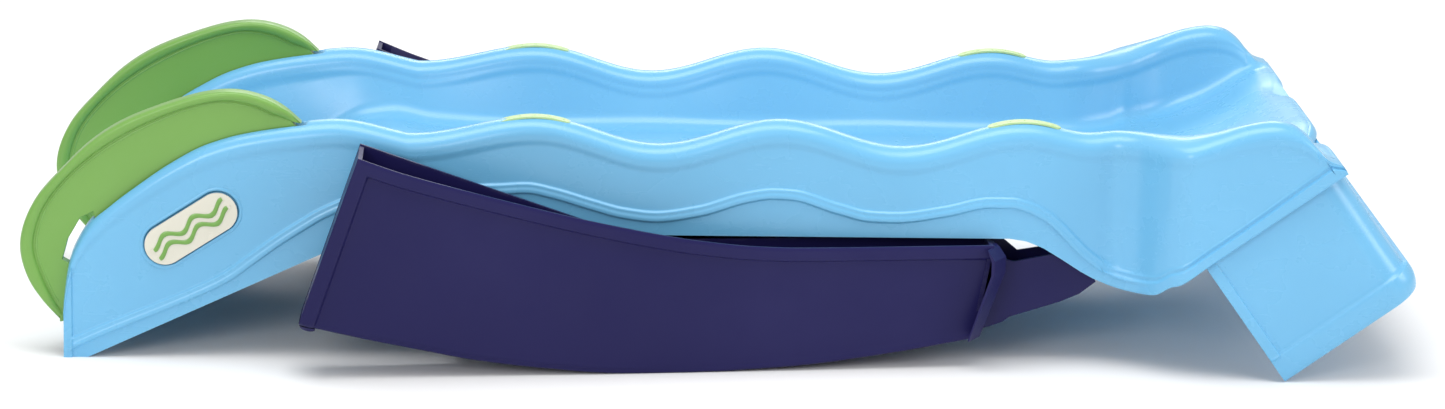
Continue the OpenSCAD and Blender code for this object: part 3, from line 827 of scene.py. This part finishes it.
def strip(path, t, y0, y1, verts, faces):
    """A plate of thickness t that follows a side-view path."""
    P = [np.array(p, float) for p in path]
    off = []
    for i, p in enumerate(P):
        a = P[max(0, i - 1)]
        b = P[min(len(P) - 1, i + 1)]
        d = (b - a) / np.linalg.norm(b - a)
        off.append((p[0] - d[1] * t, p[1] + d[0] * t))
    poly = [tuple(p) for p in P] + off[::-1]
    b = len(verts)
    n = len(P)
    for y in (y0, y1):
        verts.extend([(x, y, z) for x, z in poly])
    m = 2 * n
    for k in range(n - 1):
        i0, i1, j1, j0 = k, k + 1, m - 2 - k, m - 1 - k
        faces.append((b + i0, b + i1, b + j1, b + j0))
        faces.append((b + m + j0, b + m + j1, b + m + i1, b + m + i0))
    for k in range(m):
        k2 = (k + 1) % m
        faces.append((b + k, b + m + k, b + m + k2, b + k2))


FOOT = np.array([0.349, 0.937])


def ladder():
    verts, faces = [], []
    for s in (-1, 1):
        stringer(s, verts, faces)
    ob = make("ladder_stringers", verts, faces, NAVY, "ladder", ["ladder"], sharp=45)
    # treads: hollow trays with a rolled nose and raised grips
    verts, faces = [], []
    for p in ((-318, 30), (-138, 4), (48, 4)):
        p = np.array(p, float)
        y = lad_out(p[0] + 15, 60) - STR_W + 1.5
        nose = [p + FOOT * 92, p + FOOT * 60, p + FOOT * 30, p + FOOT * 10, p + FOOT * 3 + [1.0, -1], p + [4, -1.4], p + [12, -3], p + [24, -3.6],
                p + [33, -3.4], p + [38, -1.5], p + [41, 4], p + [44, 13]]
        strip([tuple(q) for q in nose], 3.6, -y, y, verts, faces)
        for k in range(9):
            c = p + FOOT * (16 + 8.2 * k)
            prism([tuple(c + [0.2, -1.4]), tuple(c + [-1.0, -0.6]), tuple(c + [-1.0, 1.2]), tuple(c + [0.2, 2.0])], -y + 26, y - 26,
                  verts, faces)
    make("ladder_treads", verts, faces, NAVY, "ladder", sharp=35, bevel=0.5)
    # two channel-shaped ears that hook under the deck, open to the back
    verts, faces = [], []
    low = [(298, 37), (322, 43), (337, 49), (345, 55), (404, 74), (427, 84), (446, 99), (443, 106), (441, 110)]
    back = [(430, 120), (392, 132), (348, 123), (340, 125), (322, 134), (300, 136)]
    for s in (-1, 1):
        strip(low, 4, s * 182.5 - 20.5, s * 182.5 + 20.5, verts, faces)
        for y, rear in ((160, [(430, 120), (392, 132), (356, 126), (344, 136), (330, 147), (300, 150)]), (201, back)):
            a, b = s * y, s * (y + 4)
            prism(low + rear, min(a, b), max(a, b), verts, faces)
    make("ladder_ears", verts, faces, NAVY, "ladder", sharp=30, bevel=1.4)
    verts, faces = [], []
    prism([(296, 37), (301, 37), (329, 118), (329, 134), (325, 134), (325, 118)], -212, 212, verts, faces)
    for s in (-1, 1):
        # the shoulder's wedge: two planes that meet on an upright edge
        a, b, c = s * 203, s * 232, s * 256
        base = len(verts)
        sect = [(297, 40), (301.5, 38), (329.5, 118), (329.5, 136), (321, 149), (317, 149), (322, 134), (322, 118)]
        for y, dx in ((a, 0.0), (b, 6.0), (c, -9.5)):
            verts.extend([(x + dx * (1 if k in (1, 2, 3, 4) else 0.6), y, z) for k, (x, z) in enumerate(sect)])
        n = len(sect)
        for r in range(2):
            for k in range(n):
                k2 = (k + 1) % n
                faces.append((base + r * n + k, base + r * n + k2, base + (r + 1) * n + k2, base + (r + 1) * n + k))
        faces.append(tuple(range(base, base + n)))
        faces.append(tuple(range(base + 3 * n - 1, base + 2 * n - 1, -1)))
    make("ladder_shoulder", verts, faces, NAVY, "ladder", sharp=25, bevel=1.2)
    # rounded nubs the ladder stands on at its foot
    verts, faces = [], []
    for s in (-1, 1):
        base = len(verts)
        rows = []
        for i in range(9):
            a = math.pi * i / 8
            x = -480 + 9 * -math.cos(a)
            dep = 5.5 * math.sin(a) ** 0.6 if 0 < i < 8 else 0.0
            zt = pchip(FRONT_S, x) + 3
            ring = []
            for k in range(9):
                b = math.pi * k / 8
                yy = 30 * math.cos(b)
                ring.append((x, s * (lad_out(x, zt) - 34 + yy), zt - 3 - dep * min(1.0, math.sin(b) * 2.2)))
            rows.append(ring)
        for r in rows:
            verts.extend(r)
        faces += grid_faces(9, 9, base)
    make("ladder_nubs", verts, faces, NAVY, "ladder", sharp=60)


ladder()

# --------------------------------------------------------------- handrails

ARC = [(-492, 281), (-511, 298), (-533, 310), (-566, 318), (-600, 316), (-643, 304), (-701, 280), (-737, 256),
       (-770, 224), (-802, 187), (-818, 152), (-821, 124), (-812, 90), (-794, 62), (-774, 40)]
CREASE = [(-508, 284), (-524, 291), (-545, 301), (-580, 307), (-622, 299), (-682, 274), (-733, 242), (-770, 208),
          (-793, 176), (-803, 148), (-805, 126), (-797, 97), (-783, 66), (-771, 50)]
WEB_IN = [(-776, 38), (-758, 42), (-758, 106), (-772, 114), (-765, 139), (-750, 165), (-735, 172), (-732, 160),
          (-717, 158), (-683, 188), (-644, 214), (-601, 236), (-558, 251), (-500, 261), (-489, 262)]


def resample(path, n):
    P = np.array(path, float)
    d = np.concatenate([[0], np.cumsum(np.linalg.norm(np.diff(P, axis=0), axis=1))])
    t = np.linspace(0, d[-1], n)
    return np.stack([np.interp(t, d, P[:, 0]), np.interp(t, d, P[:, 1])], 1)


def handrail(s):
    side = "near" if s < 0 else "far"
    arc = resample(spline(ARC, 10), 150)
    crease = resample(spline(CREASE, 10), 150)
    # rim: a rounded bead swept along the outer edge
    sect = [(0.0, 0.0), (0.0, 0.34), (0.012, 0.60), (0.06, 0.80), (0.15, 0.93), (0.28, 0.99), (0.45, 1.0), (0.62, 0.98), (0.78, 0.93),
            (0.88, 0.86), (0.95, 0.76), (0.985, 0.66), (1.0, 0.60), (1.03, 0.585)]
    loop = [(u, v) for u, v in sect[1:]] + [(u, -v) for u, v in sect[:0:-1]]
    n = len(loop)
    verts, faces = [], []
    for i in range(150):
        a, c = arc[i], crease[i]
        taper = 0.62 + 0.38 * ease(min(i, 149 - i) / 9)
        for u, v in loop:
            p = a + (c - a) * u
            verts.append((p[0], s * RAIL_Y + v * 13.0 * (taper if abs(v) > 0.6 else 1), p[1]))
    for i in range(149):
        for k in range(n - 1):
            faces.append((i * n + k, i * n + k + 1, (i + 1) * n + k + 1, (i + 1) * n + k))
        faces.append((i * n + n - 1, i * n, (i + 1) * n, (i + 1) * n + n - 1))
    faces.append(tuple(range(n)))
    faces.append(tuple(range(150 * n - 1, 149 * n - 1, -1)))
    make(f"handrail_rim_{side}", verts, faces, GREEN, "slide", [f"handrail_{side}"], sharp=50)
    # web: flat plate with a shallow border line just inside the rim
    inner = [tuple(p + (a - p) * 0.35) for p, a in zip(crease[::3], arc[::3])]
    poly = [tuple(q) for q in inner] + [q for q in WEB_IN]
    verts, faces = [], []
    prism(poly, s * RAIL_Y - 7.6, s * RAIL_Y + 7.6, verts, faces)
    make(f"handrail_web_{side}", verts, faces, GREEN, "slide", sharp=30, bevel=1.0)
    # fine bead along the crease on both faces
    verts, faces = [], []
    for q in (-1, 1):
        base = len(verts)
        for i in range(4, 146):
            c, a = crease[i], arc[i]
            d = (c - a) / np.linalg.norm(c - a)
            for off, hgt in ((1.4, -0.6), (2.2, 0.5), (3.4, 0.75), (4.6, 0.5), (5.4, -0.6)):
                p = c + d * off
                verts.append((p[0], s * RAIL_Y + q * (7.6 + hgt), p[1]))
        faces += grid_faces(142, 5, base)
    make(f"handrail_bead_{side}", verts, faces, GREEN, "slide", sharp=70)


for s in (-1, 1):
    handrail(s)

# ------------------------------------------------------ CAD pieces shown as they are

looks = {
    # the spray bars take the pale green whose lightness is a painted highlight
    "spray_bar_near_upper": (GREEN_PAINTED_HIGHLIGHT, 0.5), "spray_bar_near_lower": (GREEN_PAINTED_HIGHLIGHT, 0.5),
    "spray_bar_far_upper": (GREEN_PAINTED_HIGHLIGHT, 0.5), "spray_bar_far_lower": (GREEN_PAINTED_HIGHLIGHT, 0.5),
    "badge_near": (IVORY, 0.6), "badge_far": (IVORY, 0.6),
    "feed_tube_near": (VINYL, 0), "feed_tube_far": (VINYL, 0), "link_tube_near": (VINYL, 0), "link_tube_far": (VINYL, 0),
    "bar_plugs": (FITTING, 0.4), "inlet_tee": (FITTING, 0.5), "swivel_nut": (FITTING, 0.5),
    "hose_washer": (VINYL, 0.3), "tube_saddles": (FITTING, 0.7), "saddle_screws": (STEEL, 0.4),
}
for name, (mat, bev) in looks.items():
    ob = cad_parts[name]
    ob.data.materials.clear()
    ob.data.materials.append(mat)
    for p in ob.data.polygons:
        p.use_smooth = True
    ob.data.set_sharp_from_angle(angle=math.radians(35))
    if bev:
        add_bevel(ob, bev, 2)

# ------------------------------------------------------------------- stage


def stage_material():
    m = bpy.data.materials.new("studio_floor")
    m.use_nodes = True
    nt = m.node_tree
    b = nt.nodes["Principled BSDF"]
    tc = nt.nodes.new("ShaderNodeTexCoord")
    n = nt.nodes.new("ShaderNodeTexNoise")
    n.inputs["Scale"].default_value = 1.5
    r = nt.nodes.new("ShaderNodeMapRange")
    r.inputs["To Min"].default_value = 0.90
    r.inputs["To Max"].default_value = 0.93
    c = nt.nodes.new("ShaderNodeCombineColor")
    nt.links.new(tc.outputs["Object"], n.inputs["Vector"])
    nt.links.new(n.outputs["Fac"], r.inputs["Value"])
    for k in range(3):
        nt.links.new(r.outputs[0], c.inputs[k])
    nt.links.new(c.outputs[0], b.inputs["Base Color"])
    b.inputs["Roughness"].default_value = 0.85
    b.inputs["Specular IOR Level"].default_value = 0.1
    return m


bm = bmesh.new()
bmesh.ops.create_grid(bm, x_segments=12, y_segments=12, size=14)
fm = bpy.data.meshes.new("studio_floor")
bm.to_mesh(fm)
bm.free()
floor = bpy.data.objects.new("studio_floor", fm)
floor.location = (0, 6, 0)
fm.materials.append(stage_material())
bpy.context.scene.collection.objects.link(floor)


def area(name, loc, target, size, size_y, power, color=(1, 1, 1)):
    d = bpy.data.lights.new(name, "AREA")
    d.shape = "RECTANGLE"
    d.size, d.size_y = size, size_y
    d.energy = power
    d.color = color
    o = bpy.data.objects.new(name, d)
    o.location = loc
    o.rotation_mode = "QUATERNION"
    o.rotation_quaternion = (Vector(target) - Vector(loc)).to_track_quat("-Z", "Y")
    bpy.context.scene.collection.objects.link(o)
    return o


area("key_top", (-0.2, -0.6, 3.0), (0.0, 0.0, 0.2), 3.0, 1.6, 62)
area("fill_front", (-1.6, -3.4, 1.6), (0.0, 0.0, 0.2), 1.4, 1.2, 34)
area("fill_right", (3.2, -1.2, 1.5), (0.2, 0.0, 0.15), 1.2, 1.4, 26)
area("back_rim", (0.3, 3.0, 2.0), (0.0, 0.0, 0.2), 2.6, 0.8, 30)

world = bpy.data.worlds.new("studio")
world.use_nodes = True
bg = world.node_tree.nodes["Background"]
bg.inputs["Color"].default_value = (1, 1, 1, 1)
bg.inputs["Strength"].default_value = 0.66
bpy.context.scene.world = world
bpy.context.scene.view_settings.view_transform = "Standard"
bpy.context.scene.view_settings.look = "None"

# ------------------------------------------------------------------ camera

cam_data = bpy.data.cameras.new("camera")
cam_data.sensor_width = 36.0
cam_data.sensor_fit = "HORIZONTAL"
cam_data.lens = 110.29
cam_data.dof.use_dof = False
cam = bpy.data.objects.new("camera", cam_data)
right = Vector((0.99909304, -0.03742543, 0.02030849))
down = Vector((0.01053733, -0.24479735, -0.969517))
fwd = Vector((0.04125606, 0.96885169, -0.24418097))
rot = Matrix((right, -down, -fwd)).transposed()
cam.matrix_world = Matrix.Translation(Vector((-0.2132, -5.2488, 1.4599))) @ rot.to_4x4()
cam_data.clip_start, cam_data.clip_end = 0.1, 60
bpy.context.scene.collection.objects.link(cam)
bpy.context.scene.camera = cam
